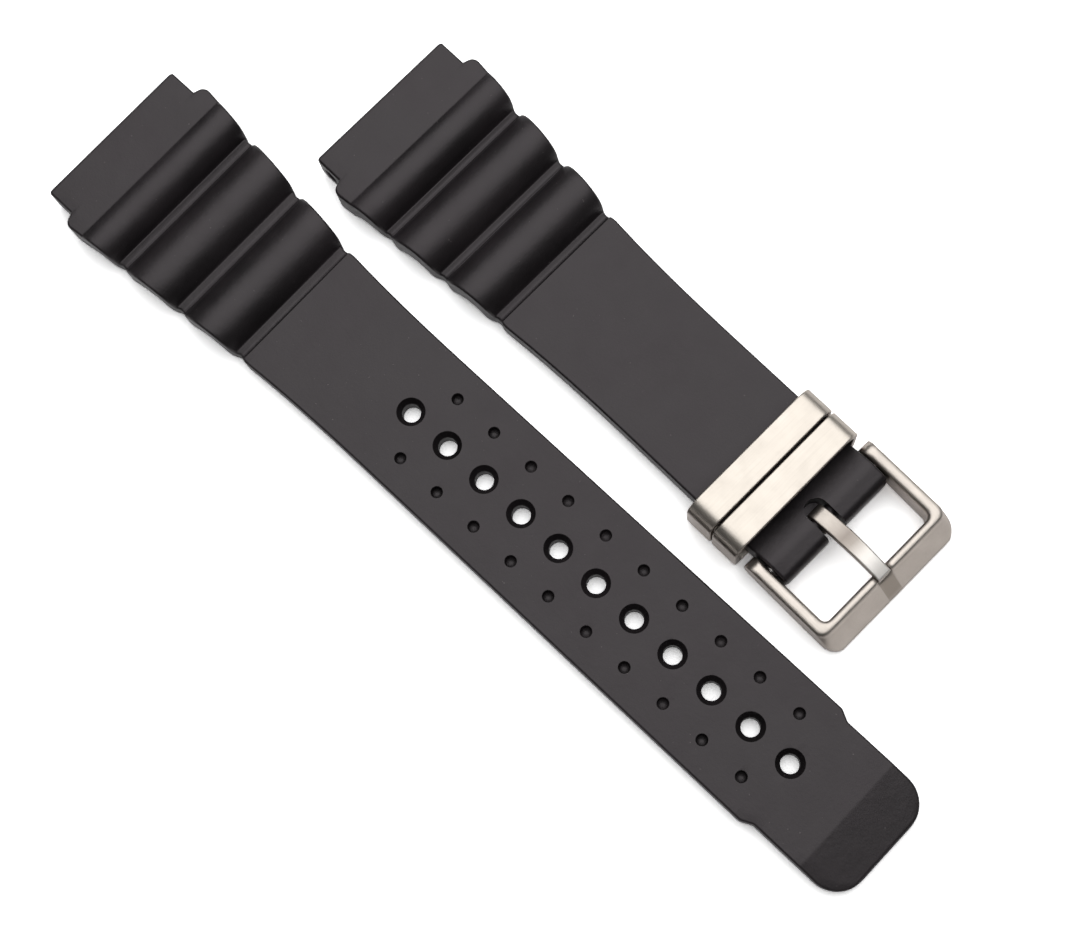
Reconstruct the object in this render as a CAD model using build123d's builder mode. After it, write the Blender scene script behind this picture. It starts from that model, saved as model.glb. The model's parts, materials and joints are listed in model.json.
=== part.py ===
from build123d import *
import math
import os

# Two-piece rubber dive strap: a long half with tang holes and a short half with a steel
# pin buckle and two steel keepers. The halves lie side by side on Z = 0. +X runs from
# the lug ends towards the tail, +Y from the long half to the short one. Each half is
# drawn from its own lug end: x along it, y across it, z up from its underside.

# Lug end, the same on both halves
lug_width = 22.0
lug_bore_dia = 2.0
lug_bore_inset = 2.2
plate_height = 4.4
plate_length = 7.5
nose_radius = 1.4
nose_edge_radius = 0.35
tongue_length = 4.3
shoulder_step = 1.6
shoulder_radius = 1.3

# Bellows ridges
crest_height = 5.0
first_ridge_rise = 1.9
first_ridge_fall = 3.2
valley_height = 2.2
ridge_count = 2
long_ridge_base = 8.3
long_ridge_gap = 1.4
short_ridge_base = 7.75
short_ridge_gap = 1.2
arch_span = 5.2
arch_rise = 1.5

# Flat band, the same on both halves
band_width = 18.0
band_thickness = 2.8
taper_flare = 0.9
taper_end = 31.0
band_start = 57.0

# Long half
long_length = 131.6
tail_inset = 0.75
tail_length = 13.5
tail_step_length = 1.5
tail_corner_radius = 4.0
tip_length = 6.4
tip_thickness = 1.5
hole_count = 11
hole_pitch = 6.27
last_hole_inset = 15.15
hole_dia = 2.35
recess_dia = 3.7
recess_depth = 0.6
dot_dia = 1.6
dot_depth = 1.2
dot_offset = 5.08

# Short half
short_end = 79.6
bar_inset = 2.5
loop_height = 4.4
loop_slope = 16.0
loop_fall = 12.0
loop_crest_reach = 0.7
loop_crest_radius = 3.0
loop_end_radius = 1.3
loop_inset = 0.2
loop_corner_radius = 0.5
slot_width = 3.0
slot_reach = 2.6
sill_reach = 1.75
sill_height = 0.9
bar_fit = 0.05

# Keepers
keeper_wall = 0.75
keeper_strip = 3.9
keeper_apart = 0.3
keeper_reach = 3.8
keeper_side_play = 0.8
keeper_drop = 0.2
keeper_headroom = 0.35
keeper_shift = 0.55
keeper_top_radius = 2.2
keeper_low_radius = 1.3
keeper_edge_radius = 0.18

# Buckle frame
frame_arm = 1.7
frame_side_gap = 0.25
window_reach = 9.0
rim_width = 1.2
skirt_reach = 2.4
ear_reach = 2.7
ear_radius = 1.6
frame_corner_radius = 2.2
rim_corner_radius = 1.25
window_corner_radius = 0.8
crest_rise = 0.9
front_drop = 3.1
front_lip = 0.3
rim_height = 0.6
rim_edge_radius = 0.35
window_edge_radius = 0.6
notch_clearance = 0.15
notch_depth = 0.8
notch_reach = 1.8

# Tang
tang_root_width = 2.1
tang_waist_width = 2.2
tang_tip_width = 2.05
tang_waist_reach = 3.5
tang_wall = 0.65
tang_thickness = 0.95
tang_tip_short = 0.1
tang_rise = 17.0
tang_join = 35.0
tang_seat_gap = 0.05
tang_edge_radius = 0.2

# Spring bar
bar_dia = 1.8
bar_bore_dia = 1.3
bar_end_gap = 0.15
lip_length = 0.4
lip_bore_dia = 1.0
tip_dia = 0.9
tip_reach = 0.8
tip_fit = 0.05
tip_hole_spare = 0.1
flange_dia = 1.2
flange_length = 1.5
flange_gap = 0.05
spring_wire = 0.18
spring_wire_sides = 12
spring_dia = 1.1
spring_turns = 14

# Lay of the two halves on the table
short_ahead = 22.68
halves_apart = 26.24
short_turn = 1.55

# One overrun serves every cut
overrun = 1.0

# Lug end and flanks
shoulder_width = lug_width + 2 * shoulder_step
taper_width = band_width + 2 * taper_flare
first_crest_x = plate_length + first_ridge_rise
first_ridge_end = first_crest_x + first_ridge_fall

# Tail and its holes, measured back from the end
tail_width = band_width - 2 * tail_inset
tail_step_end = long_length - tail_length
tail_step_x = tail_step_end - tail_step_length
first_hole_x = long_length - last_hole_inset - (hole_count - 1) * hole_pitch

# Buckle end, measured from the spring bar's axis
bar_x = short_end - bar_inset
bar_z = loop_height / 2
loop_width = band_width - 2 * loop_inset
slot_start = bar_x - slot_reach
keeper_front_x = bar_x - keeper_reach
frame_inner_width = loop_width + 2 * frame_side_gap
frame_ear_x = bar_x - ear_reach
frame_window_end = bar_x + window_reach
crest_x = frame_window_end + rim_width
crest_top = bar_z + crest_rise
front_base = bar_z - front_drop
frame_end_x = crest_x + skirt_reach

# The short half lies on its lug end and on the rear keeper's underside
keeper_low = keeper_drop + keeper_wall
keeper_back_x = keeper_front_x - 2 * keeper_strip - keeper_apart
lift_angle = math.degrees(math.atan2(keeper_low, keeper_back_x))

# The widest points of the two halves are on their rounded shoulders
turn = math.radians(short_turn)
taper_fall = (shoulder_width - taper_width) / 2 / (taper_end - tongue_length)
shoulder_x = tongue_length + shoulder_radius
shoulder_y = shoulder_width / 2 - shoulder_radius * (taper_fall + math.hypot(1, taper_fall))
long_reach = shoulder_y + shoulder_radius
short_reach = shoulder_y * math.cos(turn) - shoulder_x * math.sin(turn) + shoulder_radius
long_y = (long_reach - halves_apart - short_reach) / 2
long_x = -long_length / 2

long_top = Plane(origin=(long_x, long_y, 0))
short_top = Plane(origin=(long_x + short_ahead, long_y + halves_apart, 0))
short_top = short_top.rotated((0, -lift_angle, -short_turn))
ahead = Axis(short_top.origin, short_top.x_dir)
up = Axis(short_top.origin, short_top.z_dir)


def side_of(plane, y=0):
    """Upright plane along a half, with x along it and height as its second direction."""
    return Plane(origin=plane.origin + plane.y_dir * y, x_dir=plane.x_dir, z_dir=-plane.y_dir)


def across(plane, x):
    """Upright plane across a half, with y across it and height as its second direction."""
    return Plane(origin=plane.origin + plane.x_dir * x, x_dir=plane.y_dir, z_dir=plane.x_dir)


def ridge_starts(base, gap):
    """Where the full ridges begin, after the first one's foot."""
    return [first_ridge_end + gap + i * (base + gap) for i in range(ridge_count)]


def draw_bellows(base, gap):
    """Draws the lug end and ridges from the nose's foot to the band, and returns where it ends."""
    JernArc((nose_radius, 0), (-1, 0), nose_radius, -90)
    Line((0, nose_radius), (0, plate_height - nose_edge_radius))
    JernArc((0, plate_height - nose_edge_radius), (0, 1), nose_edge_radius, -90)
    Line((nose_edge_radius, plate_height), (plate_length, plate_height))
    crest = (first_crest_x, crest_height)
    ThreePointArc((plate_length, plate_height), crest, (first_ridge_end, valley_height))
    foot = first_ridge_end
    for start in ridge_starts(base, gap):
        Line((foot, valley_height), (start, valley_height))
        foot = start + base
        ThreePointArc((start, valley_height), (start + base / 2, crest_height), (foot, valley_height))
    Line((foot, valley_height), (foot + gap, valley_height))
    Line((foot + gap, valley_height), (foot + gap, band_thickness))
    return foot + gap


def draw_underside(base, gap, end_x):
    """Draws the arched underside from end_x back to the nose's foot."""
    centres = [start + base / 2 for start in ridge_starts(base, gap)]
    centres = [(plate_length + first_ridge_end) / 2] + centres
    last = end_x
    for centre in reversed(centres):
        Line((last, 0), (centre + arch_span / 2, 0))
        last = centre - arch_span / 2
        ThreePointArc((centre + arch_span / 2, 0), (centre, arch_rise), (last, 0))
    Line((last, 0), (nose_radius, 0))


def draw_flank(end_x, end_half):
    """Draws one flank from the nose's middle to the straight band, and on to end_x."""
    Line((0, 0), (0, lug_width / 2))
    Line((0, lug_width / 2), (tongue_length, lug_width / 2))
    Line((tongue_length, lug_width / 2), (tongue_length, shoulder_width / 2))
    taper = Line((tongue_length, shoulder_width / 2), (taper_end, taper_width / 2))
    Spline((taper_end, taper_width / 2), (band_start, band_width / 2), tangents=[taper % 1, (1, 0)])
    Line((band_start, band_width / 2), (end_x, end_half))


def round_shoulders(sketch):
    """Rounds the two shoulder corners, which are the widest points of a half."""
    rows = sketch.vertices().group_by(Axis.Y)
    fillet(rows[0] + rows[-1], shoulder_radius)


# Long half: side outline, cut to its plan, then the holes
with BuildPart() as long_strap:
    with BuildSketch(side_of(long_top)):
        with BuildLine():
            band_x = draw_bellows(long_ridge_base, long_ridge_gap)
            Line((band_x, band_thickness), (long_length - tip_length, band_thickness))
            Line((long_length - tip_length, band_thickness), (long_length, tip_thickness))
            Line((long_length, tip_thickness), (long_length, 0))
            draw_underside(long_ridge_base, long_ridge_gap, long_length)
        make_face()
    extrude(amount=shoulder_width / 2 + overrun, both=True)
    with BuildSketch(long_top) as long_plan:
        with BuildLine():
            draw_flank(tail_step_x, band_width / 2)
            Line((tail_step_x, band_width / 2), (tail_step_end, tail_width / 2))
            Line((tail_step_end, tail_width / 2), (long_length, tail_width / 2))
            Line((long_length, tail_width / 2), (long_length, 0))
            mirror(about=Plane.XZ)
        make_face()
        round_shoulders(long_plan)
        fillet(long_plan.vertices().group_by(Axis.X)[-1], tail_corner_radius)
    extrude(amount=crest_height + overrun, mode=Mode.INTERSECT)
    holes = [(first_hole_x + i * hole_pitch, 0) for i in range(hole_count)]
    dots = [(x + hole_pitch / 2, side * dot_offset) for x, _ in holes[:-1] for side in (-1, 1)]
    with BuildSketch(long_top.offset(band_thickness)):
        with Locations(*holes):
            Circle(recess_dia / 2)
    recess_lean = math.degrees(math.atan2((recess_dia - hole_dia) / 2, recess_depth))
    extrude(amount=-recess_depth, taper=recess_lean, mode=Mode.SUBTRACT)
    with BuildSketch(long_top.offset(band_thickness)):
        with Locations(*holes):
            Circle(hole_dia / 2)
    extrude(amount=-band_thickness - overrun, mode=Mode.SUBTRACT)
    with BuildSketch(long_top.offset(band_thickness)):
        with Locations(*dots):
            Circle(dot_dia / 2)
    extrude(amount=-dot_depth, mode=Mode.SUBTRACT)
    with BuildSketch(side_of(long_top)):
        with Locations((lug_bore_inset, plate_height / 2)):
            Circle(lug_bore_dia / 2)
    extrude(amount=lug_width / 2 + overrun, both=True, mode=Mode.SUBTRACT)

# Short half: the band swells into the loop that holds the spring bar
loop_crest = (bar_x - loop_crest_reach, loop_height)
swell_start = loop_crest[0] - (loop_height - band_thickness) / math.tan(math.radians(loop_slope))
loop_end_top = loop_height - (short_end - loop_crest[0]) * math.tan(math.radians(loop_fall))
with BuildPart() as short_strap:
    with BuildSketch(side_of(short_top)) as short_side:
        with BuildLine():
            band_x = draw_bellows(short_ridge_base, short_ridge_gap)
            Line((band_x, band_thickness), (swell_start, band_thickness))
            Line((swell_start, band_thickness), loop_crest)
            Line(loop_crest, (short_end, loop_end_top))
            Line((short_end, loop_end_top), (short_end, 0))
            draw_underside(short_ridge_base, short_ridge_gap, short_end)
        make_face()
        fillet(short_side.vertices().group_by(Axis.X)[-1], loop_end_radius)
        fillet(short_side.vertices().sort_by_distance(loop_crest)[0], loop_crest_radius)
    extrude(amount=shoulder_width / 2 + overrun, both=True)
    with BuildSketch(short_top.offset(-overrun)) as short_plan:
        with BuildLine():
            draw_flank(keeper_back_x, band_width / 2)
            Line((keeper_back_x, band_width / 2), (keeper_front_x, loop_width / 2))
            Line((keeper_front_x, loop_width / 2), (short_end, loop_width / 2))
            Line((short_end, loop_width / 2), (short_end, 0))
            mirror(about=Plane.XZ)
        make_face()
        round_shoulders(short_plan)
        fillet(short_plan.vertices().group_by(Axis.X)[-1], loop_corner_radius)
    extrude(amount=crest_height + 2 * overrun, mode=Mode.INTERSECT)
    with BuildSketch(short_top.offset(sill_height)):
        with Locations((slot_start + slot_width / 2, 0)):
            Circle(slot_width / 2)
            Rectangle(short_end - slot_start, slot_width, align=(Align.MIN, Align.CENTER))
    extrude(amount=crest_height, mode=Mode.SUBTRACT)
    with BuildSketch(short_top.offset(-overrun)):
        with Locations((bar_x - sill_reach, 0)):
            Rectangle(short_end - slot_start, slot_width, align=(Align.MIN, Align.CENTER))
    extrude(amount=crest_height + overrun, mode=Mode.SUBTRACT)
    with BuildSketch(side_of(short_top)):
        with Locations((bar_x, bar_z)):
            Circle(bar_dia / 2 + bar_fit)
        with Locations((lug_bore_inset, plate_height / 2)):
            Circle(lug_bore_dia / 2)
    extrude(amount=lug_width / 2 + overrun, both=True, mode=Mode.SUBTRACT)

# Keepers: rounded strip loops around two thicknesses of the band
keeper_inner_width = band_width + 2 * keeper_side_play
keeper_inner_height = 2 * band_thickness + keeper_drop + keeper_headroom
keeper_middle = keeper_inner_height / 2 - keeper_drop


def draw_loop(wall):
    """Draws a keeper's section at that distance outside its opening, hanging to one side."""
    with Locations((-keeper_shift, keeper_middle)):
        Rectangle(keeper_inner_width + 2 * wall, keeper_inner_height + 2 * wall)


def round_loop(sketch, wall):
    """Rounds a keeper's section, more at its top corners than at its low ones."""
    corners = sketch.vertices().sort_by(Axis.Y)
    fillet(corners[:2], keeper_low_radius - keeper_wall + wall)
    fillet(sketch.vertices().sort_by(Axis.Y)[-2:], keeper_top_radius - keeper_wall + wall)


keepers = {}
for name, front_x in (
    ("keeper_rear", keeper_front_x - keeper_strip - keeper_apart),
    ("keeper_front", keeper_front_x),
):
    with BuildPart() as keeper:
        with BuildSketch(across(short_top, front_x)) as outer_loop:
            draw_loop(keeper_wall)
            round_loop(outer_loop, keeper_wall)
        extrude(amount=-keeper_strip)
        with BuildSketch(across(short_top, front_x + overrun)) as inner_loop:
            draw_loop(0)
            round_loop(inner_loop, 0)
        extrude(amount=-keeper_strip - 2 * overrun, mode=Mode.SUBTRACT)
        rims = keeper.faces().sort_by(ahead)
        fillet(rims[0].outer_wire().edges() + rims[-1].outer_wire().edges(), keeper_edge_radius)
    keepers[name] = keeper

# Buckle frame: a rounded rim on three sides, over a skirt that slopes out at the front
frame_width = frame_inner_width + 2 * frame_arm
ear_x = frame_ear_x + ear_radius
skirt_rise = crest_top - rim_height - front_base


def ear_touch(x, z, side):
    """Where a line from (x, z) touches the ear's circle, above it (side 1) or below it (side -1)."""
    reach = math.hypot(x - ear_x, z - bar_z)
    angle = math.atan2(z - bar_z, x - ear_x) + side * math.acos(ear_radius / reach)
    return (ear_x + ear_radius * math.cos(angle), bar_z + ear_radius * math.sin(angle))


def draw_window():
    """Draws the window, which is open between the ears."""
    with Locations((frame_ear_x - overrun, 0)):
        Rectangle(
            frame_window_end - frame_ear_x + overrun,
            frame_inner_width,
            align=(Align.MIN, Align.CENTER),
        )


ear_high = ear_touch(crest_x, crest_top, 1)
ear_low = ear_touch(frame_window_end, front_base, -1)
arm_fall = (ear_high[1] - crest_top) / (crest_x - ear_high[0])
rim_back = (frame_ear_x - overrun, crest_top + (crest_x - frame_ear_x + overrun) * arm_fall)
rim_front = (frame_end_x + overrun, crest_top - (skirt_reach + overrun) * arm_fall)
with BuildPart() as frame_skirt:
    with BuildSketch(short_top.offset(front_base)) as skirt_plan:
        with Locations((frame_ear_x - skirt_reach, 0)):
            Rectangle(
                frame_end_x - frame_ear_x + skirt_reach,
                frame_width + 2 * skirt_reach,
                align=(Align.MIN, Align.CENTER),
            )
        fillet(skirt_plan.vertices().group_by(Axis.X)[-1], rim_corner_radius + skirt_reach)
    extrude(amount=skirt_rise, taper=math.degrees(math.atan2(skirt_reach, skirt_rise)))
    with BuildSketch(short_top.offset(front_base - overrun)) as frame_plan:
        with Locations((frame_ear_x, 0)):
            Rectangle(frame_end_x - frame_ear_x, frame_width, align=(Align.MIN, Align.CENTER))
        fillet(frame_plan.vertices().group_by(Axis.X)[-1], frame_corner_radius)
    extrude(amount=frame_width, mode=Mode.INTERSECT)
    with BuildSketch(short_top.offset(front_base - overrun)) as skirt_window:
        draw_window()
        fillet(skirt_window.vertices().group_by(Axis.X)[-1], window_corner_radius)
    extrude(amount=frame_width, mode=Mode.SUBTRACT)

with BuildPart() as buckle_frame:
    with BuildSketch(short_top.offset(front_base)) as rim_plan:
        with Locations((frame_ear_x - overrun, 0)):
            Rectangle(crest_x - frame_ear_x + overrun, frame_width, align=(Align.MIN, Align.CENTER))
        fillet(rim_plan.vertices().group_by(Axis.X)[-1], rim_corner_radius)
    extrude(amount=frame_width)
    with BuildSketch(side_of(short_top)):
        with BuildLine():
            Polyline(
                rim_back,
                rim_front,
                (rim_front[0], front_base),
                (rim_back[0], front_base),
                close=True,
            )
        make_face()
    extrude(amount=frame_width, both=True, mode=Mode.INTERSECT)
    rim_top = buckle_frame.faces().sort_by(up)[-1]
    fillet(rim_top.edges().sort_by(ahead)[-1], rim_edge_radius)
    with BuildSketch(short_top.offset(front_base - overrun)) as rim_window:
        draw_window()
        fillet(rim_window.vertices().group_by(Axis.X)[-1], window_corner_radius)
    extrude(amount=frame_width, mode=Mode.SUBTRACT)
    window_front = short_top.from_local_coords(Vector(frame_window_end, 0, crest_top))
    fillet(buckle_frame.edges().sort_by_distance(window_front)[0], window_edge_radius)
    add(frame_skirt.part)
    with BuildSketch(side_of(short_top)):
        with BuildLine():
            ThreePointArc(ear_low, (frame_ear_x, bar_z), ear_high)
            Line(ear_high, rim_front)
            Line(rim_front, (rim_front[0], front_base + front_lip))
            Line((rim_front[0], front_base + front_lip), (frame_end_x, front_base + front_lip))
            Line((frame_end_x, front_base + front_lip), (frame_end_x - front_lip, front_base))
            Line((frame_end_x - front_lip, front_base), (frame_window_end, front_base))
            Line((frame_window_end, front_base), ear_low)
        make_face()
    extrude(amount=frame_width, both=True, mode=Mode.INTERSECT)

    # The notch for the tang's tip, and the holes for the spring bar's tips
    skirt_lean = skirt_reach / skirt_rise
    notch_width = tang_tip_width + 2 * notch_clearance
    notch_floor = crest_top - notch_depth
    notch_end_x = crest_x + notch_reach
    notch_foot = crest_top - rim_height - notch_reach / skirt_lean
    with BuildSketch(side_of(short_top)):
        with BuildLine():
            Polyline(
                (frame_window_end - overrun, notch_floor),
                (crest_x, notch_floor),
                (notch_end_x, notch_foot),
                (notch_end_x, crest_top + overrun),
                (frame_window_end - overrun, crest_top + overrun),
                close=True,
            )
        make_face()
    extrude(amount=notch_width / 2, both=True, mode=Mode.SUBTRACT)
    with BuildSketch(side_of(short_top)):
        with Locations((bar_x, bar_z)):
            Circle(tip_dia / 2 + tip_fit)
    extrude(amount=frame_inner_width / 2 + tip_reach + tip_hole_spare, both=True, mode=Mode.SUBTRACT)

# Tang: an eye round the spring bar and an arched shank that rests in the notch
eye_radius = bar_dia / 2 + bar_fit + tang_wall
tang_waist_x = bar_x + tang_waist_reach
tang_tip_x = crest_x - tang_tip_short
tip_low = notch_floor + tang_seat_gap


def eye_point(degrees):
    """Point on the eye's outside, turned up from the strap's direction."""
    angle = math.radians(degrees)
    return Vector(bar_x + eye_radius * math.cos(angle), bar_z + eye_radius * math.sin(angle))


with BuildPart() as buckle_tang:
    with BuildSketch(side_of(short_top)):
        with BuildLine():
            rise_angle = 90 + tang_rise
            top_arc = TangentArc(
                eye_point(rise_angle),
                (tang_tip_x, tip_low + tang_thickness),
                tangent=eye_point(tang_rise) - Vector(bar_x, bar_z),
            )
            Line((tang_tip_x, tip_low + tang_thickness), (tang_tip_x, tip_low))
            low_mid = top_arc @ 0.5 - Vector(0, tang_thickness)
            ThreePointArc((tang_tip_x, tip_low), low_mid, eye_point(tang_join))
            eye_back = eye_point((tang_join + rise_angle) / 2 + 180)
            ThreePointArc(eye_point(tang_join), eye_back, eye_point(rise_angle))
        make_face()
        with Locations((bar_x, bar_z)):
            Circle(bar_dia / 2 + bar_fit, mode=Mode.SUBTRACT)
    extrude(amount=tang_waist_width / 2 + overrun, both=True)
    with BuildSketch(short_top.offset(front_base)):
        with BuildLine():
            eye_back_x = bar_x - eye_radius - overrun
            Line((eye_back_x, 0), (eye_back_x, tang_root_width / 2))
            Line((eye_back_x, tang_root_width / 2), (short_end, tang_root_width / 2))
            Line((short_end, tang_root_width / 2), (tang_waist_x, tang_waist_width / 2))
            Line((tang_waist_x, tang_waist_width / 2), (tang_tip_x, tang_tip_width / 2))
            Line((tang_tip_x, tang_tip_width / 2), (tang_tip_x, 0))
            mirror(about=Plane.XZ)
        make_face()
    extrude(amount=frame_width, mode=Mode.INTERSECT)
    shank_top = buckle_tang.faces().sort_by(up)[-1]
    fillet(shank_top.edges().sort_by(ahead)[1:], tang_edge_radius)

# Spring bar: tube with crimped lips, two plungers and the coil between them
bar_length = frame_inner_width - 2 * bar_end_gap
bar_middle = side_of(short_top)
with BuildPart() as bar_barrel:
    with BuildSketch(bar_middle):
        with Locations((bar_x, bar_z)):
            Circle(bar_dia / 2)
            Circle(lip_bore_dia / 2, mode=Mode.SUBTRACT)
    extrude(amount=bar_length / 2, both=True)
    with BuildSketch(bar_middle):
        with Locations((bar_x, bar_z)):
            Circle(bar_bore_dia / 2)
    extrude(amount=bar_length / 2 - lip_length, both=True, mode=Mode.SUBTRACT)

flange_end = bar_length / 2 - lip_length - flange_gap
tip_end = frame_inner_width / 2 + tip_reach
plungers = {}
for name, side in (("bar_plunger_left", -1), ("bar_plunger_right", 1)):
    with BuildPart() as plunger:
        with BuildSketch(side_of(short_top, side * (flange_end - flange_length))):
            with Locations((bar_x, bar_z)):
                Circle(flange_dia / 2)
        extrude(amount=-side * flange_length)
        with BuildSketch(side_of(short_top, side * flange_end)):
            with Locations((bar_x, bar_z)):
                Circle(tip_dia / 2)
        extrude(amount=-side * (tip_end - flange_end))
    plungers[name] = plunger

spring_length = 2 * (flange_end - flange_length - flange_gap) - spring_wire
spring_radius = (spring_dia - spring_wire) / 2
spring_pitch = spring_length / spring_turns
spring_foot = side_of(short_top, -spring_length / 2).from_local_coords((bar_x, bar_z, 0))
with BuildPart() as bar_spring:
    with BuildLine():
        coil = Helix(spring_pitch, spring_length, spring_radius, spring_foot, short_top.y_dir)
    with BuildSketch(Plane(origin=coil @ 0, z_dir=coil % 0)):
        RegularPolygon(spring_wire / 2, spring_wire_sides)
    sweep(path=coil, is_frenet=True)
print("spring gap between turns", round(spring_pitch - spring_wire, 3))

pieces = {
    "long_strap": long_strap,
    "short_strap": short_strap,
    "buckle_frame": buckle_frame,
    "buckle_tang": buckle_tang,
    "bar_barrel": bar_barrel,
    "bar_spring": bar_spring,
    **keepers,
    **plungers,
}
os.makedirs("parts", exist_ok=True)
for name, piece in pieces.items():
    piece.part.label = name
    export_step(piece.part, f"parts/{name}.step")
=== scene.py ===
import json
import math

import bmesh
import bpy
from mathutils import Matrix, Vector


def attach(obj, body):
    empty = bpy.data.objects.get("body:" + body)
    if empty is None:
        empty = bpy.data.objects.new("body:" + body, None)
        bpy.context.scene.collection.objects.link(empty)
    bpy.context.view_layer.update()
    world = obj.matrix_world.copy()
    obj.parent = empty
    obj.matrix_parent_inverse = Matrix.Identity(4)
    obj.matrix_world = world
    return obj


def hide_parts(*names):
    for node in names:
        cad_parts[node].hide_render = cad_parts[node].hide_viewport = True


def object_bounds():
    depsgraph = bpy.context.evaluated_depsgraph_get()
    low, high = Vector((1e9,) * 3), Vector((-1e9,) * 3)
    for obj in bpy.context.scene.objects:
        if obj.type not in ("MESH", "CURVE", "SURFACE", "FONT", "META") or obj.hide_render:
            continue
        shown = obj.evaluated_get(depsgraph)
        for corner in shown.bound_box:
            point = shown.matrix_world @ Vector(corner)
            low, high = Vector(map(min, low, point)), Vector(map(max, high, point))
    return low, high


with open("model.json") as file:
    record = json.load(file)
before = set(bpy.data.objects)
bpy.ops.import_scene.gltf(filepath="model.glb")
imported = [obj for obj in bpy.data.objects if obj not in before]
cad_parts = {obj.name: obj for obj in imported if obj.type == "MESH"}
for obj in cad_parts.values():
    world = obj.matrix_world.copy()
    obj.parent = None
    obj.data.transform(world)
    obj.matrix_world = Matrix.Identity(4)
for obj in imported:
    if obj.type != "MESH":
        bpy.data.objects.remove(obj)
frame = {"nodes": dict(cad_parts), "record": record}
cad_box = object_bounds()

# Sizes of the rubber, in millimetres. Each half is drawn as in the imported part: x along it from
# its lug end, y across it, z up from its underside.
MM = 0.001
LUG_WIDTH = 22.0
LUG_BORE_RADIUS = 1.0
LUG_BORE_INSET = 2.2
PLATE_HEIGHT = 4.4
PLATE_LENGTH = 7.5
NOSE_RADIUS = 1.4
NOSE_EDGE_RADIUS = 0.35
TONGUE_LENGTH = 4.3
SHOULDER_WIDTH = 25.2
SHOULDER_RADIUS = 1.3
CREST_HEIGHT = 5.0
FIRST_CREST = 9.4
FIRST_RIDGE_END = 12.6
VALLEY_HEIGHT = 2.2
VALLEY_RISE = 0.15
GROOVE_WIDTH = 0.35
GROOVE_DEPTH = 0.22
RIDGE_COUNT = 2
ARCH_SPAN = 5.2
ARCH_RISE = 1.5
BAND_WIDTH = 18.0
BAND_THICKNESS = 2.8
TAPER_WIDTH = 19.8
TAPER_END = 31.0
BAND_START = 57.0
SCALLOP_DEPTH = 0.4
SCALLOP_REACH = 0.9

LONG_LENGTH = 131.6
LONG_RIDGE_BASE = 8.3
LONG_RIDGE_GAP = 1.4
TAIL_WIDTH = 16.5
TAIL_STEP = 116.6
TAIL_STEP_END = 118.1
TAIL_CORNER_RADIUS = 4.0
TIP_LENGTH = 6.4
TIP_THICKNESS = 1.5
HOLE_COUNT = 11
FIRST_HOLE = 53.75
HOLE_PITCH = 6.27
HOLE_RADIUS = 1.175
RECESS_RADIUS = 1.77
RECESS_DEPTH = 0.6
DOT_RADIUS = 0.72
DOT_DEPTH = 1.2
DOT_OFFSET = 5.08

SHORT_LENGTH = 79.6
SHORT_RIDGE_BASE = 7.75
SHORT_RIDGE_GAP = 1.2
LOOP_HEIGHT = 4.4
LOOP_SLOPE = math.radians(15)
LOOP_FALL = math.radians(12)
LOOP_CREST_RADIUS = 3.0
LOOP_END_RADIUS = 1.3
LOOP_WIDTH = 17.6
LOOP_CORNER_RADIUS = 0.5
LOOP_TAPER_START = 65.2
LOOP_TAPER_END = 73.3
BAR_HOLE_RADIUS = 0.95
SLOT_START = 74.5
SLOT_WIDTH = 3.0
SILL_REACH = 1.75
SILL_HEIGHT = 0.9
BAR_X = SHORT_LENGTH - 2.5
LOOP_CREST = BAR_X - 0.4

# Softness of the moulding: rounded edges and creases
EDGE_RADIUS = 0.35
CREASE_REACH = 0.14
MOUTH_RADIUS = 0.08
THIN_SHARE = 0.48
SHARP_ANGLE = math.radians(38)

# Finer forms of the cutters: how they widen at the mouths and steps of the holes and bores, how
# the floors of the dots are dished, and how far the cutters stand out of the rubber
HOLE_FLARE = 0.2
RECESS_TURN = 0.15
RECESS_STEP = 0.04
SILL_STEP = 0.05
BORE_FLARE = 0.15
MOUTH_SPREAD = 0.02
DOT_DISH = 0.3
DOT_WALL = 0.45
OVERRUN = 1.0

# Fineness of the meshes: steps round each curve, and lengths between the sections
CORNER_STEPS = 5
ACROSS_STEPS = 10
NOSE_STEPS = 14
TAIL_STEPS = 40
LOOP_STEPS = 36
MOUTH_STEPS = 5
HOLE_STEPS = 56
DOT_STEPS = 32
BORE_STEPS = 40
SLOT_STEPS = 24
FINE_STEP = 0.1
BAND_STEP = 1.0
FINE_MARGIN = 1.0

# Tones of the rubber, and the tint of its gloss
RUBBER_DARK = (0.0075, 0.0065, 0.007)
RUBBER_LIGHT = (0.0105, 0.009, 0.0098)
RUBBER_GRAIN = (0.014, 0.012, 0.013)
RUBBER_SMUDGE = (0.0165, 0.0135, 0.015)
RUBBER_SPECK = (0.06, 0.053, 0.053)
RUBBER_TINT = (1.0, 0.925, 0.955, 1)

# Steel: cells of its grain to the metre along, across and up, with the brushing where they are
# fewest, the radius in metres to which its edges are softened, and the share of its tone that
# its sides keep, as painted shade that darkens them
BRUSHED_ACROSS = (9000, 160, 9000)
BRUSHED_ALONG = (700, 5000, 5000)
DRAWN_ACROSS = (6000, 300, 6000)
KEEPER_EDGE = 0.0003
FRAME_EDGE = 0.0009
TANG_EDGE = 0.0003
BAR_EDGE = 0.0001
SIDE_SHADE_TONE = (0.68, 0.635, 0.63)
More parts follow.
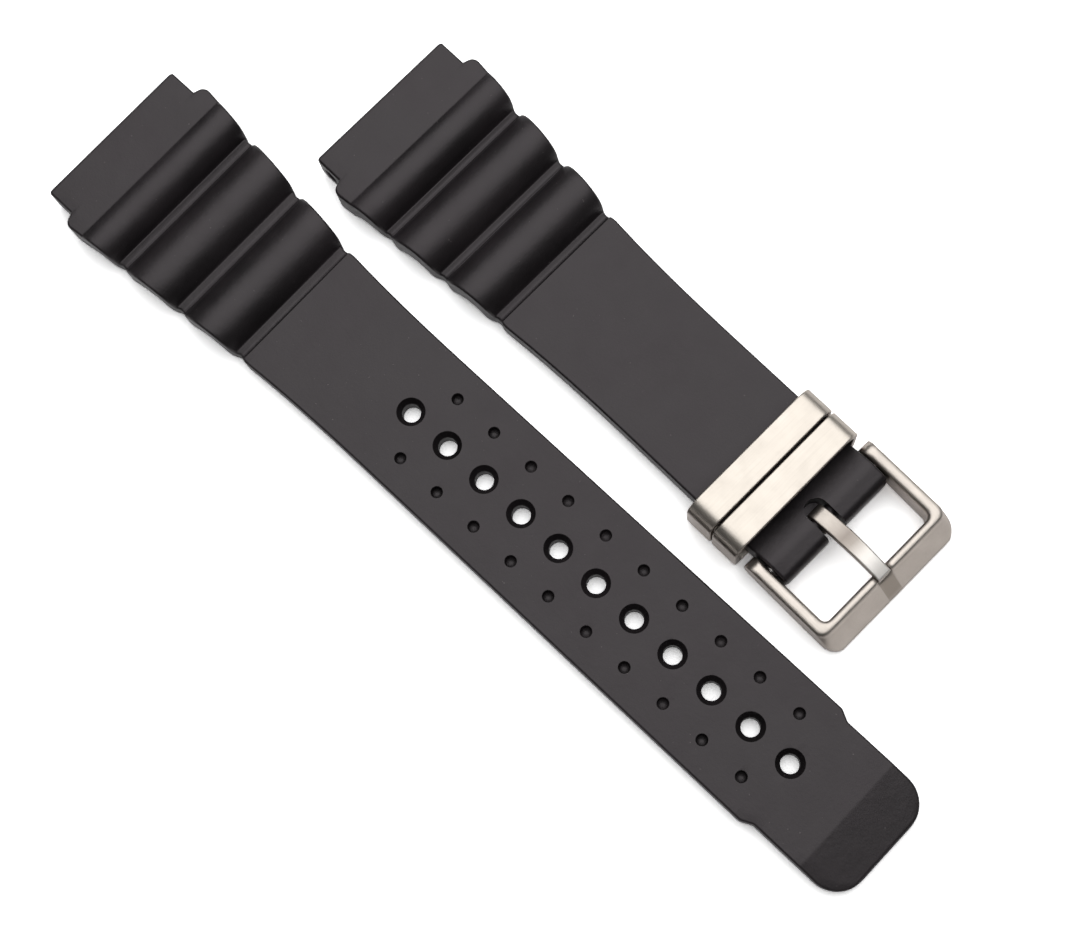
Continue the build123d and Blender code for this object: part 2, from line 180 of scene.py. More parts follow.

# Painted shadow in the frame's notch, and painted shade and a painted highlight on the tang, in
# the short half's own axes. Each of the two on the tang has where it starts, is fullest and ends,
# and its tone.
NOTCH_SHADOW_TONE = (0.24, 0.205, 0.17)
NOTCH_SHADOW_SHARE = 0.7
NOTCH_HALF = 1.17
NOTCH_START = BAR_X + 10.15
NOTCH_END = BAR_X + 13.0
TANG_PAINTED_SHADE = (BAR_X + 0.6, BAR_X + 3.6, BAR_X + 6.6, (0.27, 0.235, 0.21))
TANG_PAINTED_HIGHLIGHT = (BAR_X + 4.8, BAR_X + 8.0, BAR_X + 30.0, (0.93, 0.90, 0.86))
TANG_PAINT_SHARE = 0.95

# The camera that matches the photograph: its place and what it looks at in millimetres, a hint
# of what is up, and its lens
EYE = (51.36, -34.46, 240.88)
AIM = (4.715, -6.87, 0)
UP_HINT = (-0.6641, 0.7173, 0.2108)
LENS = 66.055
SENSOR_WIDTH = 36.0

# The floor, in metres: how far it reaches, how far it lies below the strap, and the distances
# between which the glow that the camera sees rises from the first strength to the second
FLOOR_REACH = 6.0
FLOOR_DROP = 0.00002
GLOW = (0.2, 0.6, 0.12, 1.0)

# Tones of the floor as it lights the strap and as it is seen, the share of the seen one in the
# strap's reflections, and the tones of the world at its horizon and overhead
FLOOR_TONE = (0.8, 0.8, 0.8, 1)
SEEN_FLOOR_TONE = (2.1, 2.1, 2.1, 1)
GLOSSY_SHARE = 0.35
WORLD_LOW = (0.02, 0.02, 0.02)
WORLD_HIGH = (0.10, 0.10, 0.10)


def chord(radius, offset):
    """Half the chord of a circle, at that offset from its centre."""
    return math.sqrt(max(radius * radius - offset * offset, 0.0))


def arc_height(x, a, b, c):
    """Height at x of the upper arc through the points a, b and c."""
    (ax, az), (bx, bz), (cx, cz) = a, b, c
    turn = 2 * (ax * (bz - cz) + bx * (cz - az) + cx * (az - bz))
    aa, bb, cc = ax * ax + az * az, bx * bx + bz * bz, cx * cx + cz * cz
    mid_x = (aa * (bz - cz) + bb * (cz - az) + cc * (az - bz)) / turn
    mid_z = (aa * (cx - bx) + bb * (ax - cx) + cc * (bx - ax)) / turn
    return mid_z + chord(math.hypot(ax - mid_x, az - mid_z), x - mid_x)


def ridge_feet(base, gap):
    """Where the two full ridges begin."""
    return [FIRST_RIDGE_END + gap + i * (base + gap) for i in range(RIDGE_COUNT)]


def ridge_ends(base, gap):
    """Where the first, short ridge and the two full ones end."""
    return [FIRST_RIDGE_END] + [foot + base for foot in ridge_feet(base, gap)]


def bellows_end(base, gap):
    """Where the flat band begins."""
    return FIRST_RIDGE_END + gap + RIDGE_COUNT * (base + gap)


def bellows_top(x, base, gap):
    """Height of the lug plate, the ridges and the band behind them."""
    if x < NOSE_EDGE_RADIUS:
        return PLATE_HEIGHT - NOSE_EDGE_RADIUS + chord(NOSE_EDGE_RADIUS, NOSE_EDGE_RADIUS - x)
    if x < PLATE_LENGTH:
        return PLATE_HEIGHT
    if x < FIRST_RIDGE_END:
        crest = (FIRST_CREST, CREST_HEIGHT)
        return arc_height(x, (PLATE_LENGTH, PLATE_HEIGHT), crest, (FIRST_RIDGE_END, VALLEY_HEIGHT))
    for foot in ridge_feet(base, gap):
        if foot < x < foot + base:
            crest = (foot + base / 2, CREST_HEIGHT)
            return arc_height(x, (foot, VALLEY_HEIGHT), crest, (foot + base, VALLEY_HEIGHT))
    if x > bellows_end(base, gap):
        return BAND_THICKNESS
    return VALLEY_HEIGHT + valley_shape(x, base, gap)


def valley_shape(x, base, gap):
    """Rise of a valley's floor over its length, and the groove at the foot of what follows."""
    along = x - max(end for end in ridge_ends(base, gap) if end <= x)
    rise = VALLEY_RISE * min(along / (gap - GROOVE_WIDTH), 1)
    return rise - GROOVE_DEPTH * max(along - gap + GROOVE_WIDTH, 0) / GROOVE_WIDTH


def arched_low(x, base, gap):
    """Height of the underside, with its rounded nose and one arch under each ridge."""
    if x < NOSE_RADIUS:
        return NOSE_RADIUS - chord(NOSE_RADIUS, NOSE_RADIUS - x)
    middles = [(PLATE_LENGTH + FIRST_RIDGE_END) / 2]
    middles += [foot + base / 2 for foot in ridge_feet(base, gap)]
    reach = ARCH_SPAN / 2
    for middle in middles:
        if abs(x - middle) < reach:
            return arc_height(x, (middle - reach, 0), (middle, ARCH_RISE), (middle + reach, 0))
    return 0.0


def scallops(x, base, gap):
    """How far the flank is drawn in at x: a shallow notch behind each ridge."""
    offsets = [(x - end - gap / 2) / SCALLOP_REACH for end in ridge_ends(base, gap)]
    return sum(SCALLOP_DEPTH * math.exp(-(offset**2)) for offset in offsets)


def flank(x):
    """Half the width of either half, from the nose to the straight band."""
    if x < TONGUE_LENGTH:
        lost = NOSE_EDGE_RADIUS - chord(NOSE_EDGE_RADIUS, max(NOSE_EDGE_RADIUS - x, 0))
        return LUG_WIDTH / 2 - lost
    fall = (SHOULDER_WIDTH - TAPER_WIDTH) / 2 / (TAPER_END - TONGUE_LENGTH)
    if x < TAPER_END:
        half = SHOULDER_WIDTH / 2 - fall * (x - TONGUE_LENGTH)
        inside = max(SHOULDER_RADIUS - (x - TONGUE_LENGTH), 0)
        return half - SHOULDER_RADIUS + chord(SHOULDER_RADIUS, inside)
    if x < BAND_START:
        span = BAND_START - TAPER_END
        t = (x - TAPER_END) / span
        ease = t * t * (3 - 2 * t)
        start, end = TAPER_WIDTH / 2, BAND_WIDTH / 2
        return start + (end - start) * ease - fall * span * t * (1 - t) ** 2
    return BAND_WIDTH / 2


def ramp(x, start, end, low, high):
    """Straight change from low at start to high at end."""
    t = min(max((x - start) / (end - start), 0), 1)
    return low + (high - low) * t


def long_half_width(x):
    """Half the width of the long half, with its stepped tail and rounded end corners."""
    half = flank(x) - scallops(x, LONG_RIDGE_BASE, LONG_RIDGE_GAP)
    half -= ramp(x, TAIL_STEP, TAIL_STEP_END, 0, (BAND_WIDTH - TAIL_WIDTH) / 2)
    inside = max(TAIL_CORNER_RADIUS - (LONG_LENGTH - x), 0)
    return half - TAIL_CORNER_RADIUS + chord(TAIL_CORNER_RADIUS, inside)


def long_top_height(x):
    """Top of the long half, with the sloping facet of its tip."""
    height = bellows_top(x, LONG_RIDGE_BASE, LONG_RIDGE_GAP)
    height -= ramp(x, LONG_LENGTH - TIP_LENGTH, LONG_LENGTH, 0, BAND_THICKNESS - TIP_THICKNESS)
    inside = max(EDGE_RADIUS - (LONG_LENGTH - x), 0)
    return height - EDGE_RADIUS + chord(EDGE_RADIUS, inside)


def long_low_height(x):
    """Underside of the long half."""
    inside = max(EDGE_RADIUS - (LONG_LENGTH - x), 0)
    end_rise = EDGE_RADIUS - chord(EDGE_RADIUS, inside)
    return arched_low(x, LONG_RIDGE_BASE, LONG_RIDGE_GAP) + end_rise


def short_half_width(x):
    """Half the width of the short half, which narrows a little towards its loop."""
    lost = (BAND_WIDTH - LOOP_WIDTH) / 2
    half = flank(x) - scallops(x, SHORT_RIDGE_BASE, SHORT_RIDGE_GAP)
    half -= ramp(x, LOOP_TAPER_START, LOOP_TAPER_END, 0, lost)
    inside = max(LOOP_CORNER_RADIUS - (SHORT_LENGTH - x), 0)
    return half - LOOP_CORNER_RADIUS + chord(LOOP_CORNER_RADIUS, inside)


def loop_height(x):
    """Top of the loop: a gentle swell, a rounded crest, a slight fall and a blunt end."""
    tangent = LOOP_CREST_RADIUS * math.tan((LOOP_SLOPE + LOOP_FALL) / 2)
    middle = LOOP_CREST + LOOP_CREST_RADIUS * math.sin(LOOP_SLOPE) - tangent * math.cos(LOOP_SLOPE)
    level = LOOP_HEIGHT - LOOP_CREST_RADIUS * math.cos(LOOP_SLOPE) - tangent * math.sin(LOOP_SLOPE)
    corner = SHORT_LENGTH - LOOP_END_RADIUS
    if x < middle - LOOP_CREST_RADIUS * math.sin(LOOP_SLOPE):
        return LOOP_HEIGHT - (LOOP_CREST - x) * math.tan(LOOP_SLOPE)
    if x < middle + LOOP_CREST_RADIUS * math.sin(LOOP_FALL):
        return level + chord(LOOP_CREST_RADIUS, x - middle)
    if x < corner + LOOP_END_RADIUS * math.sin(LOOP_FALL):
        return LOOP_HEIGHT - (x - LOOP_CREST) * math.tan(LOOP_FALL)
    level = LOOP_HEIGHT - (corner - LOOP_CREST) * math.tan(LOOP_FALL)
    return level - LOOP_END_RADIUS / math.cos(LOOP_FALL) + chord(LOOP_END_RADIUS, x - corner)


def short_top_height(x):
    """Top of the short half: the ridges, the band and the loop."""
    return max(bellows_top(x, SHORT_RIDGE_BASE, SHORT_RIDGE_GAP), loop_height(x))


def short_low_height(x):
    """Underside of the short half, which is rounded up at the loop's end."""
    inside = max(LOOP_END_RADIUS - (SHORT_LENGTH - x), 0)
    end_rise = LOOP_END_RADIUS - chord(LOOP_END_RADIUS, inside)
    return arched_low(x, SHORT_RIDGE_BASE, SHORT_RIDGE_GAP) + end_rise


def eased(shape, x, length):
    """The shape at x with its creases rounded, by its mean over a short reach."""
    reach = min(CREASE_REACH, x, length - x)
    shares = (-1, -0.66, -0.33, 0, 0.33, 0.66, 1)
    return sum(shape(x + reach * share) for share in shares) / len(shares)


def spaced(start, end, step):
    """Even places from start up to end, which is left out."""
    count = max(1, round((end - start) / step))
    return [start + (end - start) * i / count for i in range(count)]


def closing(start, end, count):
    """Places from start to end that come closer together towards the end."""
    return [start + (end - start) * math.sin(math.pi / 2 * i / count) for i in range(count + 1)]


def section(half, top, low):
    """Rounded rectangle in (y, z), with extra points across its top and underside."""
    radius = min(EDGE_RADIUS, THIN_SHARE * (top - low))
    corners = (
        (half - radius, low + radius, -90),
        (half - radius, top - radius, 0),
        (radius - half, top - radius, 90),
        (radius - half, low + radius, 180),
    )
    points = []
    for index, (y, z, start) in enumerate(corners):
        for i in range(CORNER_STEPS + 1):
            angle = math.radians(start + 90 * i / CORNER_STEPS)
            points.append((y + radius * math.cos(angle), z + radius * math.sin(angle)))
        if index % 2:
            level = points[-1][1]
            across = 2 * y / ACROSS_STEPS
            points += [(y - across * i, level) for i in range(1, ACROSS_STEPS)]
    return points


def lug_end_places(base, gap):
    """Places along the lug end and the bellows, close together on all their curves."""
    places = [NOSE_RADIUS - p for p in closing(0, NOSE_RADIUS, NOSE_STEPS)][::-1]
    return places + spaced(NOSE_RADIUS, bellows_end(base, gap) + FINE_MARGIN, FINE_STEP)[1:]


def skin(mesh, rings):
    """Adds the end faces and the sides of a closed shape through rings of points."""
    faces = [mesh.faces.new(rings[0]), mesh.faces.new(rings[-1])]
    for ring, following in zip(rings, rings[1:]):
        for i in range(len(ring)):
            j = (i + 1) % len(ring)
            faces.append(mesh.faces.new((ring[i], ring[j], following[j], following[i])))
    bmesh.ops.recalc_face_normals(mesh, faces=faces)


def loft(places, length, half_width, top, low):
    """Closed mesh through a rounded section at each place."""
    mesh = bmesh.new()
    rings = []
    for x in places:
        half = eased(half_width, x, length)
        outline = section(half, eased(top, x, length), eased(low, x, length))
        rings.append([mesh.verts.new((x, y, z)) for y, z in outline])
    skin(mesh, rings)
    return mesh


def long_half():
    """The long half's body, before its holes."""
    band_start = bellows_end(LONG_RIDGE_BASE, LONG_RIDGE_GAP) + FINE_MARGIN
    tip_start = LONG_LENGTH - TIP_LENGTH - FINE_MARGIN
    corner_start = LONG_LENGTH - TAIL_CORNER_RADIUS
    places = lug_end_places(LONG_RIDGE_BASE, LONG_RIDGE_GAP)
    places += spaced(band_start, TAIL_STEP - FINE_MARGIN, BAND_STEP)
    places += spaced(TAIL_STEP - FINE_MARGIN, TAIL_STEP_END + FINE_MARGIN, FINE_STEP)
    places += spaced(TAIL_STEP_END + FINE_MARGIN, tip_start, BAND_STEP)
    places += spaced(tip_start, corner_start, FINE_STEP)
    places += closing(corner_start, LONG_LENGTH, TAIL_STEPS)
    return loft(places, LONG_LENGTH, long_half_width, long_top_height, long_low_height)


def short_half():
    """The short half's body, before its slot and holes."""
    band_start = bellows_end(SHORT_RIDGE_BASE, SHORT_RIDGE_GAP) + FINE_MARGIN
    loop_start = LOOP_TAPER_END - 2 * FINE_MARGIN
    places = lug_end_places(SHORT_RIDGE_BASE, SHORT_RIDGE_GAP)
    places += spaced(band_start, loop_start, BAND_STEP)
    places += spaced(loop_start, BAR_X, FINE_STEP)
    places += closing(BAR_X, SHORT_LENGTH, LOOP_STEPS)
    return loft(places, SHORT_LENGTH, short_half_width, short_top_height, short_low_height)


def turned(mesh, centre, axes, profile, steps):
    """Adds a turned shape to mesh: profile is (radius, height) from its foot to its head."""
    out, side, along = axes
    rings = []
    for radius, height in profile:
        ring = []
        for i in range(steps):
            angle = 2 * math.pi * i / steps
            reach = out * (radius * math.cos(angle)) + side * (radius * math.sin(angle))
            ring.append(mesh.verts.new(centre + reach + along * height))
        rings.append(ring)
    skin(mesh, rings)


X, Y, Z = Vector((1, 0, 0)), Vector((0, 1, 0)), Vector((0, 0, 1))
UPRIGHT = (X, Y, Z)
CROSSWISE = (Z, X, Y)


def mouth(radius, level):
    """The last points of a cutter's profile, which round the mouth of its hole."""
    points = []
    for i in range(MOUTH_STEPS + 1):
        angle = math.pi / 2 * i / MOUTH_STEPS
        reach = radius + MOUTH_RADIUS * (1 - math.cos(angle))
        points.append((reach, level - MOUTH_RADIUS + MOUTH_RADIUS * math.sin(angle)))
    return points + [(points[-1][0] + MOUTH_SPREAD, level + OVERRUN)]


def long_cutters():
    """The tang holes with their recesses, the blind dots and the lug bore."""
    mesh = bmesh.new()
    level = BAND_THICKNESS
    floor = level - RECESS_DEPTH
    foot = HOLE_RADIUS + HOLE_FLARE
    hole = [(foot, -OVERRUN), (foot, 0), (HOLE_RADIUS, HOLE_FLARE)]
    hole += [(HOLE_RADIUS, floor - RECESS_TURN), (HOLE_RADIUS + RECESS_STEP, floor)]
    hole += mouth(RECESS_RADIUS, level)
    low = level - DOT_DEPTH
    dot = [(DOT_RADIUS * share, low + DOT_DISH * share**2) for share in (0.2, 0.5, 0.75, 0.9)]
    dot += [(DOT_RADIUS, low + DOT_WALL)] + mouth(DOT_RADIUS, level)
    for i in range(HOLE_COUNT):
        x = FIRST_HOLE + i * HOLE_PITCH
        turned(mesh, Vector((x, 0, 0)), UPRIGHT, hole, HOLE_STEPS)
        if i < HOLE_COUNT - 1:
            for side in (-1, 1):
                spot = Vector((x + HOLE_PITCH / 2, side * DOT_OFFSET, 0))
                turned(mesh, spot, UPRIGHT, dot, DOT_STEPS)
    add_bore(mesh, Vector((LUG_BORE_INSET, 0, PLATE_HEIGHT / 2)), LUG_BORE_RADIUS, LUG_WIDTH / 2)
    return mesh


def add_bore(mesh, centre, radius, reach):
    """Adds a crosswise bore that opens a little at both of its mouths."""
    wide = radius + BORE_FLARE
    profile = [(wide, -reach - OVERRUN), (wide, -reach), (radius, BORE_FLARE - reach)]
    profile += [(wide, -height) for wide, height in reversed(profile)]
    turned(mesh, centre, CROSSWISE, profile, BORE_STEPS)


def short_cutters():
    """The slot for the tang, the spring bar's hole and the lug bore."""
    mesh = bmesh.new()
    reach = SLOT_WIDTH / 2
    outline = [(SHORT_LENGTH + OVERRUN, -reach), (SHORT_LENGTH + OVERRUN, reach)]
    for i in range(SLOT_STEPS + 1):
        angle = math.radians(90 + 180 * i / SLOT_STEPS)
        x = SLOT_START + reach + reach * math.cos(angle)
        outline.append((x, reach * math.sin(angle)))
    sill_end = BAR_X - SILL_REACH
    levels = [(-OVERRUN, sill_end), (SILL_HEIGHT, sill_end)]
    levels += [(SILL_HEIGHT + SILL_STEP, SLOT_START), (CREST_HEIGHT + OVERRUN, SLOT_START)]
    rings = [[mesh.verts.new((max(x, back), y, z)) for x, y in outline] for z, back in levels]
    skin(mesh, rings)
    add_bore(mesh, Vector((LUG_BORE_INSET, 0, PLATE_HEIGHT / 2)), LUG_BORE_RADIUS, LUG_WIDTH / 2)
    add_bore(mesh, Vector((BAR_X, 0, LOOP_HEIGHT / 2)), BAR_HOLE_RADIUS, LOOP_WIDTH / 2)
    return mesh


def half_frame(mount, along, across):
    """Matrix from a half's own axes, in millimetres, to the shared frame in metres."""
    up = along.cross(across)
    foot = mount - (along * LUG_BORE_INSET + up * PLATE_HEIGHT / 2) * MM
    turn = Matrix((along, across, up)).transposed().to_4x4()
    return Matrix.Translation(foot) @ turn @ Matrix.Scale(MM, 4)


def place_object(name, mesh, matrix):
    """Makes an object of a bmesh, and lays its points into the shared frame."""
    data = bpy.data.meshes.new(name)
    mesh.to_mesh(data)
    mesh.free()
    data.transform(matrix)
    piece = bpy.data.objects.new(name, data)
    bpy.context.scene.collection.objects.link(piece)
    return piece


def cut(piece, cutter):
    """Cuts a closed mesh out of a piece, and keeps the result as the piece's mesh."""
    modifier = piece.modifiers.new("cut", "BOOLEAN")
    modifier.operation = "DIFFERENCE"
    modifier.solver = "EXACT"
    modifier.object = cutter
    bpy.context.view_layer.update()
    shown = piece.evaluated_get(bpy.context.evaluated_depsgraph_get())
    result = bpy.data.meshes.new_from_object(shown)
    piece.modifiers.clear()
    piece.data = result
    bpy.data.objects.remove(cutter)


def moulding(name, node, mesh, cutters, matrix, material):
    """One rubber half: the lofted body with its holes cut, in place of its CAD node."""
    piece = place_object(name, mesh, matrix)
    cut(piece, place_object(name + "_cutters", cutters, matrix))
    piece.data.materials.clear()
    piece.data.materials.append(material)
    for face in piece.data.polygons:
        face.use_smooth = True
    piece.data.set_sharp_from_angle(angle=SHARP_ANGLE)
    normals = piece.modifiers.new("normals", "WEIGHTED_NORMAL")
    normals.keep_sharp = True
    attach(piece, "strap_halves")
    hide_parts(node)


class Nodes:
    """Short calls for building one material's nodes."""

    def __init__(self, tree):
        self.tree = tree
        tree.nodes.clear()

    def add(self, kind, inputs=None, **settings):
        """Adds a node. A value in inputs is a plain value or another node's output."""
        node = self.tree.nodes.new(kind)
        for name, value in settings.items():
            setattr(node, name, value)
        for name, value in (inputs or {}).items():
            if isinstance(value, bpy.types.NodeSocket):
                self.tree.links.new(value, node.inputs[name])
            else:
                node.inputs[name].default_value = value
        return node

    def noise(self, coordinates, scale, detail=3.0, roughness=0.55):
        """Noise from 0 to 1 at that many cells to the metre."""
        inputs = {"Vector": coordinates, "Scale": scale, "Detail": detail, "Roughness": roughness}
        return self.add("ShaderNodeTexNoise", inputs).outputs["Fac"]

    def ranged(self, value, low, high, to_low, to_high):
        """Maps a value from one range to another, held at both ends."""
        inputs = {"Value": value, "From Min": low, "From Max": high}
        inputs |= {"To Min": to_low, "To Max": to_high}
        return self.add("ShaderNodeMapRange", inputs).outputs["Result"]

    def mixed(self, factor, first, second):
        """Mixes two colours."""
        node = self.add("ShaderNodeMix", {0: factor}, data_type="RGBA")
        for socket, value in ((node.inputs[6], first), (node.inputs[7], second)):
            if isinstance(value, bpy.types.NodeSocket):
                self.tree.links.new(value, socket)
            else:
                socket.default_value = (*value, 1)
        return node.outputs[2]

    def calc(self, operation, *values):
        """The result of one math operation."""
        inputs = dict(enumerate(values))
        return self.add("ShaderNodeMath", inputs, operation=operation).outputs[0]

    def bump(self, height, distance, strength, normal=None):
        """Bump of that height in metres."""
        inputs = {"Height": height, "Distance": distance, "Strength": strength}
        if normal:
            inputs["Normal"] = normal
        return self.add("ShaderNodeBump", inputs).outputs["Normal"]


def new_material(name):
    """An empty material and its nodes."""
    material = bpy.data.materials.new(name)
    material.use_nodes = True
    return material, Nodes(material.node_tree)


def finish_material(nodes, shader):
    """Joins a shader to the material's output."""
    nodes.add("ShaderNodeOutputMaterial", {"Surface": shader})


def rubber_material():
    """Matte charcoal rubber with a fine moulded grain, faint smudges and a few pale specks."""
    material, nodes = new_material("moulded_rubber")
    place = nodes.add("ShaderNodeTexCoord").outputs["Object"]
    mottle = nodes.noise(place, 260, detail=4)
    grain = nodes.noise(place, 3800, detail=3, roughness=0.65)
    pits = nodes.noise(place, 1500, detail=2)
    swells = nodes.noise(place, 520, detail=3, roughness=0.6)
    broad = nodes.noise(place, 75, detail=4, roughness=0.65)
    specks = nodes.ranged(nodes.noise(place, 2300, detail=1), 0.77, 0.81, 0, 1)
    base = nodes.mixed(nodes.ranged(mottle, 0.3, 0.7, 0, 1), RUBBER_DARK, RUBBER_LIGHT)
    base = nodes.mixed(nodes.ranged(grain, 0.3, 0.7, 0, 0.35), base, RUBBER_GRAIN)
    base = nodes.mixed(nodes.ranged(broad, 0.4, 0.62, 0, 0.9), base, RUBBER_SMUDGE)
    base = nodes.mixed(specks, base, RUBBER_SPECK)
    normal = nodes.bump(swells, 0.00007, 0.5)
    normal = nodes.bump(pits, 0.00003, 0.45, normal)
    normal = nodes.bump(grain, 0.00002, 0.55, normal)
    rough = nodes.ranged(broad, 0.35, 0.65, 0.40, 0.46)
    rough = nodes.calc("ADD", rough, nodes.ranged(mottle, 0.3, 0.7, -0.02, 0.02))
    shader = nodes.add(
        "ShaderNodeBsdfPrincipled",
        {"Base Color": base, "Roughness": rough, "Normal": normal},
    )
    shader.inputs["Specular Tint"].default_value = RUBBER_TINT
    finish_material(nodes, shader.outputs["BSDF"])
    return material


def steel_material(name, cells, light, dark, roughness, edge, painted_light=None):
    """Satin steel with a brushed grain and softened edges, with painted shade darkening its sides.
    """
    material, nodes = new_material(name)
    coordinates = nodes.add("ShaderNodeTexCoord").outputs
    place = coordinates["Object"]
    side = side_share(nodes, coordinates)
    turned_place = nodes.add(
        "ShaderNodeMapping",
        {"Vector": place, "Rotation": (0, 0, SHORT_TURN), "Scale": tuple(1 / n for n in cells)},
        vector_type="TEXTURE",
    ).outputs["Vector"]
    grain = nodes.noise(turned_place, 1, detail=4, roughness=0.7)
    smudge = nodes.noise(place, 420, detail=3)
    base = nodes.mixed(nodes.ranged(grain, 0.3, 0.7, 0, 1), dark, light)
    # Painted shade: faces that stand upright are darkened to a share of the dark tone
    base = nodes.mixed(side, base, tuple(tone * c for tone, c in zip(SIDE_SHADE_TONE, dark)))
    # Painted light and shade laid over the base colour, for the notch and the tang
    if painted_light:
        base = painted_light(nodes, coordinates, base)
    rough = nodes.ranged(smudge, 0.3, 0.7, roughness - 0.04, roughness + 0.06)
    softened = nodes.add("ShaderNodeBevel", {"Radius": edge}, samples=8).outputs["Normal"]
    normal = nodes.bump(grain, 0.000012, 0.5, softened)
    shader = nodes.add(
        "ShaderNodeBsdfPrincipled",
        {"Base Color": base, "Metallic": 1.0, "Roughness": rough, "Normal": normal},
    )
    finish_material(nodes, shader.outputs["BSDF"])
    return material


def side_share(nodes, coordinates):
    """How far a face is a side: 0 on the tops and 1 on what stands upright."""
    rise = nodes.add("ShaderNodeSeparateXYZ", {"Vector": coordinates["Normal"]}).outputs["Z"]
    return nodes.ranged(rise, 0.25, 0.9, 1, 0)


def in_short_half(nodes, coordinates):
    """A point's x, y and z in the short half's own axes, in millimetres."""
    lay = {"Vector": coordinates["Object"], "Location": short_matrix.to_translation()}
    lay |= {"Rotation": short_matrix.to_euler(), "Scale": (MM, MM, MM)}
    local = nodes.add("ShaderNodeMapping", lay, vector_type="TEXTURE").outputs["Vector"]
    return nodes.add("ShaderNodeSeparateXYZ", {"Vector": local}).outputs


def notch_painted_shadow(nodes, coordinates, base):
    """Painted shadow in the frame's notch and below it, under the tang's tip."""
    local = in_short_half(nodes, coordinates)
    aside = nodes.calc("ABSOLUTE", local["Y"])
    share = nodes.ranged(aside, NOTCH_HALF - 0.1, NOTCH_HALF, NOTCH_SHADOW_SHARE, 0)
    for start, end in ((NOTCH_START, NOTCH_START + 0.2), (NOTCH_END, NOTCH_END - 1.0)):
        share = nodes.calc("MULTIPLY", share, nodes.ranged(local["X"], start, end, 0, 1))
    return nodes.mixed(share, base, NOTCH_SHADOW_TONE)


def tang_painted_light(nodes, coordinates, base):
    """Painted shade along the tang's inner half, and a painted highlight on its top towards its
    tip.
    """
    along = in_short_half(nodes, coordinates)["X"]
    upward = nodes.ranged(side_share(nodes, coordinates), 0, 0.8, TANG_PAINT_SHARE, 0)
    # One pass for the painted shade and one for the painted highlight, each mostly on the tang's
    # tops
    for start, fullest, end, tone in (TANG_PAINTED_SHADE, TANG_PAINTED_HIGHLIGHT):
        rise = nodes.ranged(along, start, fullest, 0, 1)
        fade = nodes.ranged(along, fullest, end, 1, 0)
        share = nodes.calc("MULTIPLY", nodes.calc("MULTIPLY", rise, fade), upward)
        base = nodes.mixed(share, base, tone)
    return base


def dress_node(node, material):
    """Gives a CAD node its material."""
    shown = frame["nodes"][node]
    for slot in shown.material_slots:
        slot.material = material


def floor_material():
    """Pale floor that the camera and glossy rays see as white where nothing shades it."""
    material, nodes = new_material("white_floor")
    rays = nodes.add("ShaderNodeLightPath").outputs
    seen = nodes.calc("MULTIPLY_ADD", rays["Is Glossy Ray"], GLOSSY_SHARE, rays["Is Camera Ray"])
    seen = nodes.calc("ADD", seen, rays["Is Transmission Ray"])
    place = nodes.add("ShaderNodeTexCoord").outputs["Object"]
    reach = nodes.add("ShaderNodeVectorMath", {0: place}, operation="LENGTH").outputs["Value"]
    glow = nodes.add("ShaderNodeEmission", {"Strength": nodes.ranged(reach, *GLOW)})
    plain = nodes.add("ShaderNodeBsdfDiffuse", {"Color": FLOOR_TONE})
    bright = nodes.add("ShaderNodeBsdfDiffuse", {"Color": SEEN_FLOOR_TONE})
    lifted = nodes.add("ShaderNodeAddShader")
    nodes.tree.links.new(bright.outputs[0], lifted.inputs[0])
    nodes.tree.links.new(glow.outputs[0], lifted.inputs[1])
    mix = nodes.add("ShaderNodeMixShader", {0: seen})
    nodes.tree.links.new(plain.outputs[0], mix.inputs[1])
    nodes.tree.links.new(lifted.outputs[0], mix.inputs[2])
    finish_material(nodes, mix.outputs[0])
    return material


def make_floor():
    """A wide pale floor under the strap."""
    data = bpy.data.meshes.new("floor")
    ways = ((-1, -1), (1, -1), (1, 1), (-1, 1))
    corners = [(FLOOR_REACH * x, FLOOR_REACH * y, 0) for x, y in ways]
    data.from_pydata(corners, [], [(0, 1, 2, 3)])
    data.materials.append(floor_material())
    floor = bpy.data.objects.new("floor", data)
    floor.location.z = cad_box[0][2] - FLOOR_DROP
    bpy.context.scene.collection.objects.link(floor)


def make_world():
    """Dim surroundings, a little lighter overhead."""
    world = bpy.data.worlds.new("studio")
    bpy.context.scene.world = world
    world.use_nodes = True
    nodes = Nodes(world.node_tree)
    way = nodes.add("ShaderNodeTexCoord").outputs["Generated"]
    height = nodes.add("ShaderNodeSeparateXYZ", {"Vector": way}).outputs["Z"]
    tone = nodes.mixed(nodes.ranged(height, 0, 0.8, 0, 1), WORLD_LOW, WORLD_HIGH)
    glow = nodes.add("ShaderNodeBackground", {"Color": tone, "Strength": 1.0})
    nodes.add("ShaderNodeOutputWorld", {"Surface": glow.outputs[0]})


def add_softbox(name, direction, distance, size, power):
    """Square area lamp that faces the middle of the strap."""
    data = bpy.data.lights.new(name, "AREA")
    data.shape = "SQUARE"
    data.size = size
    data.energy = power
    lamp = bpy.data.objects.new(name, data)
    way = Vector(direction).normalized()
    lamp.location = way * distance
    lamp.rotation_euler = way.to_track_quat("Z", "Y").to_euler()
    bpy.context.scene.collection.objects.link(lamp)


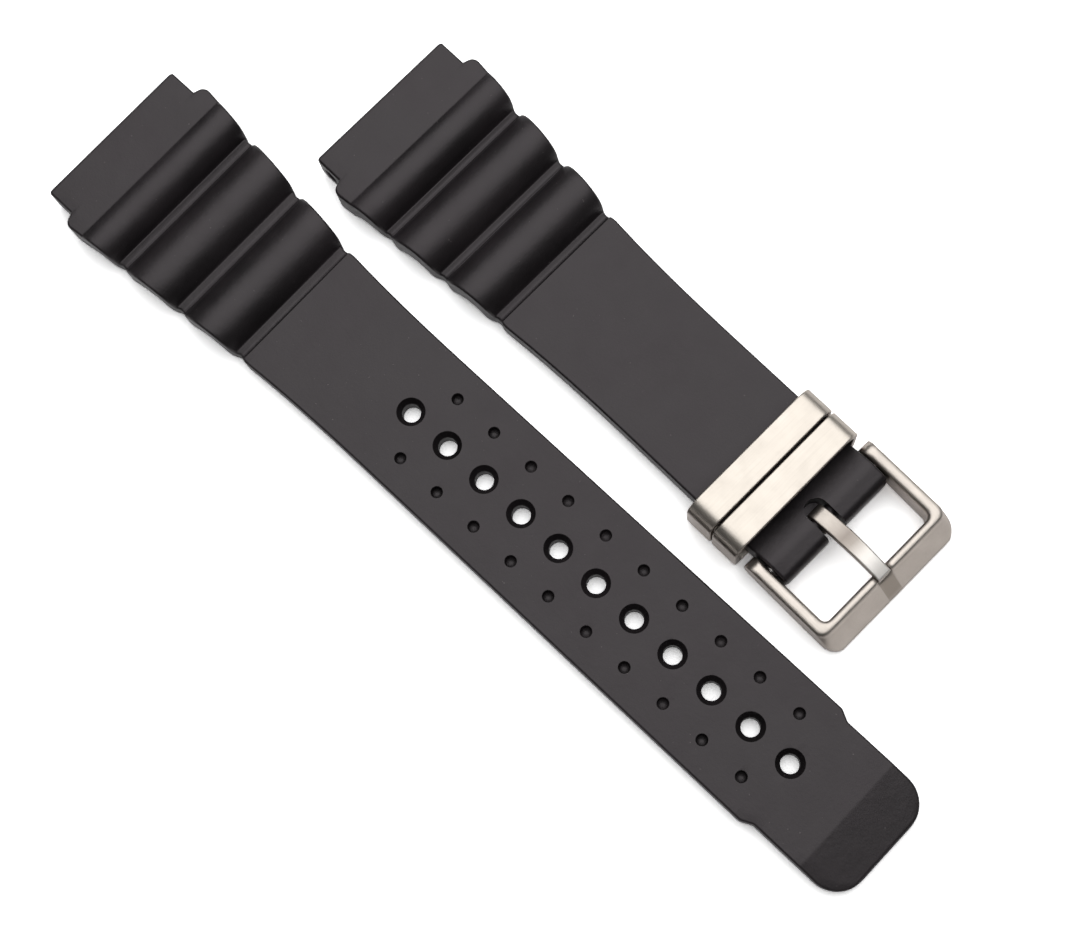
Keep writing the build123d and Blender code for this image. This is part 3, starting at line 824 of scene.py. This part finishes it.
def make_camera():
    """Camera at the photograph's viewing angle."""
    eye = Vector(EYE) * MM
    back = (eye - Vector(AIM) * MM).normalized()
    right = Vector(UP_HINT).cross(back).normalized()
    up = back.cross(right)
    data = bpy.data.cameras.new("camera")
    data.sensor_width = SENSOR_WIDTH
    data.lens = LENS
    data.clip_start = 0.01
    camera = bpy.data.objects.new("camera", data)
    camera.matrix_world = Matrix.Translation(eye) @ Matrix((right, up, back)).transposed().to_4x4()
    bpy.context.scene.collection.objects.link(camera)
    bpy.context.scene.camera = camera


# Axes of the two halves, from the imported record
record = frame["record"]
mounts = {mount["name"]: Vector(mount["pos_m"]) for mount in record["mounts"]}
axes = {joint["name"]: Vector(joint["axis"]) for joint in record["behaviour"]["joints"]}
short_along = axes["front_keeper_slide"].normalized()
short_across = axes["plunger_left_push"].normalized()
SHORT_TURN = math.atan2(short_along.y, short_along.x)
long_matrix = half_frame(mounts["long_lug_bore"], X, Y)
short_matrix = half_frame(mounts["short_lug_bore"], short_along, short_across)

rubber = rubber_material()
keeper_steel = steel_material(
    "keeper_steel",
    cells=BRUSHED_ACROSS,
    light=(0.61, 0.56, 0.50),
    dark=(0.55, 0.505, 0.45),
    roughness=0.36,
    edge=KEEPER_EDGE,
)
buckle_tones = {"light": (0.58, 0.53, 0.48), "dark": (0.51, 0.465, 0.42)}
buckle_steel = steel_material(
    "buckle_steel",
    cells=BRUSHED_ALONG,
    roughness=0.34,
    edge=FRAME_EDGE,
    # Painted shadow in the notch under the tang's tip
    painted_light=notch_painted_shadow,
    **buckle_tones,
)
tang_steel = steel_material(
    "tang_steel",
    cells=BRUSHED_ALONG,
    roughness=0.42,
    edge=TANG_EDGE,
    # Painted shade and a painted highlight along the tang
    painted_light=tang_painted_light,
    **buckle_tones,
)
bar_steel = steel_material(
    "bar_steel",
    cells=DRAWN_ACROSS,
    light=(0.56, 0.55, 0.54),
    dark=(0.48, 0.47, 0.46),
    roughness=0.25,
    edge=BAR_EDGE,
)

moulding("long_strap_rubber", "long_strap", long_half(), long_cutters(), long_matrix, rubber)
moulding("short_strap_rubber", "short_strap", short_half(), short_cutters(), short_matrix, rubber)

for node in ("keeper_front", "keeper_rear"):
    dress_node(node, keeper_steel)
dress_node("buckle_frame", buckle_steel)
dress_node("buckle_tang", tang_steel)
for node in ("bar_barrel", "bar_spring", "bar_plunger_left", "bar_plunger_right"):
    dress_node(node, bar_steel)

make_floor()
make_world()
add_softbox("key", (-0.20, 0.28, 0.9), distance=0.7, size=1.05, power=6.3)
make_camera()
bpy.context.scene.view_settings.view_transform = "Standard"
